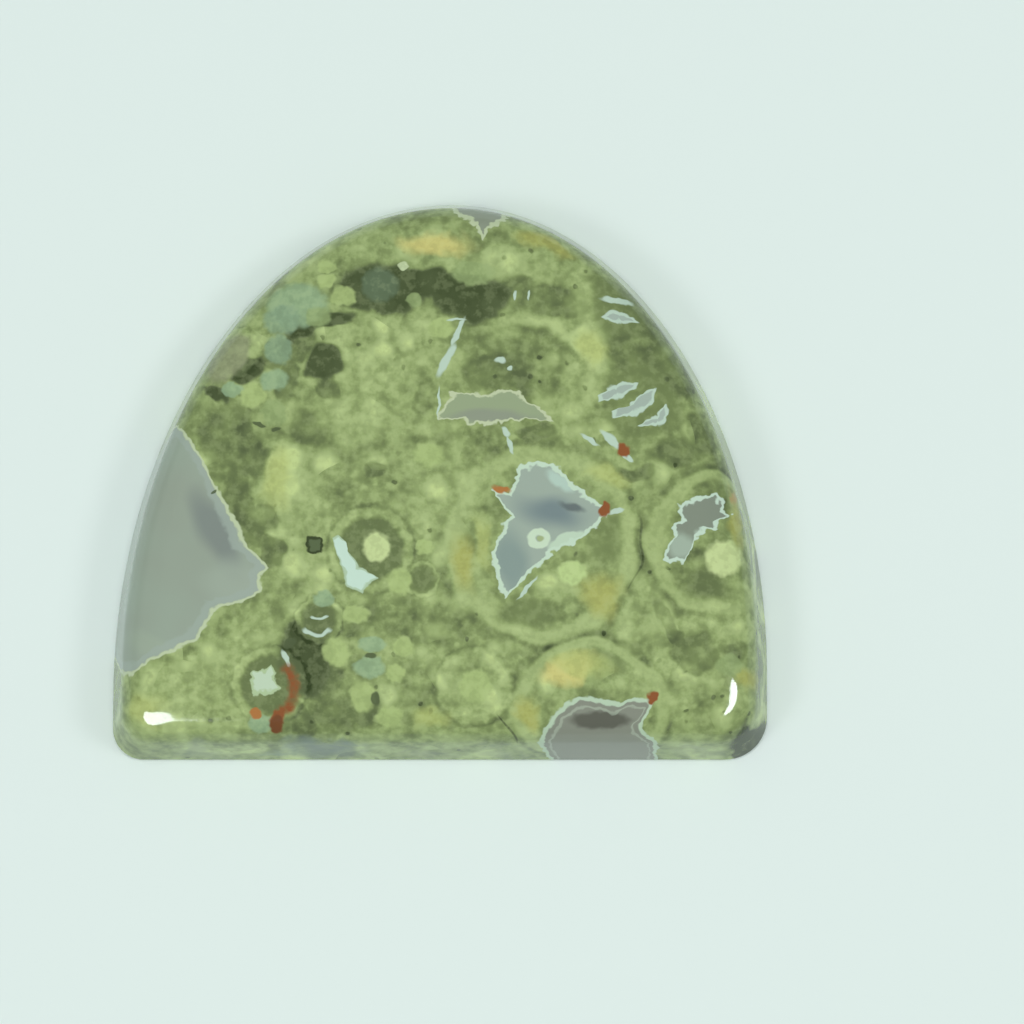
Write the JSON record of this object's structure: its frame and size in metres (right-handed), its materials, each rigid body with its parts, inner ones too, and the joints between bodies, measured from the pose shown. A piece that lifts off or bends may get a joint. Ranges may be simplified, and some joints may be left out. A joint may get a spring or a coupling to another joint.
{
  "type": "rhyolite jasper cabochon",
  "caption": "Polished stone cabochon, arch-shaped in plan with a straight lower edge, rounded shoulder, low domed top and flat back. Green spherulitic rock with grey agate pockets.",
  "frame": {"origin": "middle of the box round the stone in plan, on the surface that the flat back rests on", "axes": "+X to the right along the straight edge, +Y from the straight edge to the top of the arch, +Z out of the domed face"},
  "size_m": [0.04, 0.0344, 0.0059],
  "materials": {
    "polished_stone": "mirror-polished olive-green orbicular stone with grey agate pockets, pale rims and small red spots"
  },
  "bodies": {
    "root": {"cabochon": "polished_stone"}
  },
  "joints": []
}
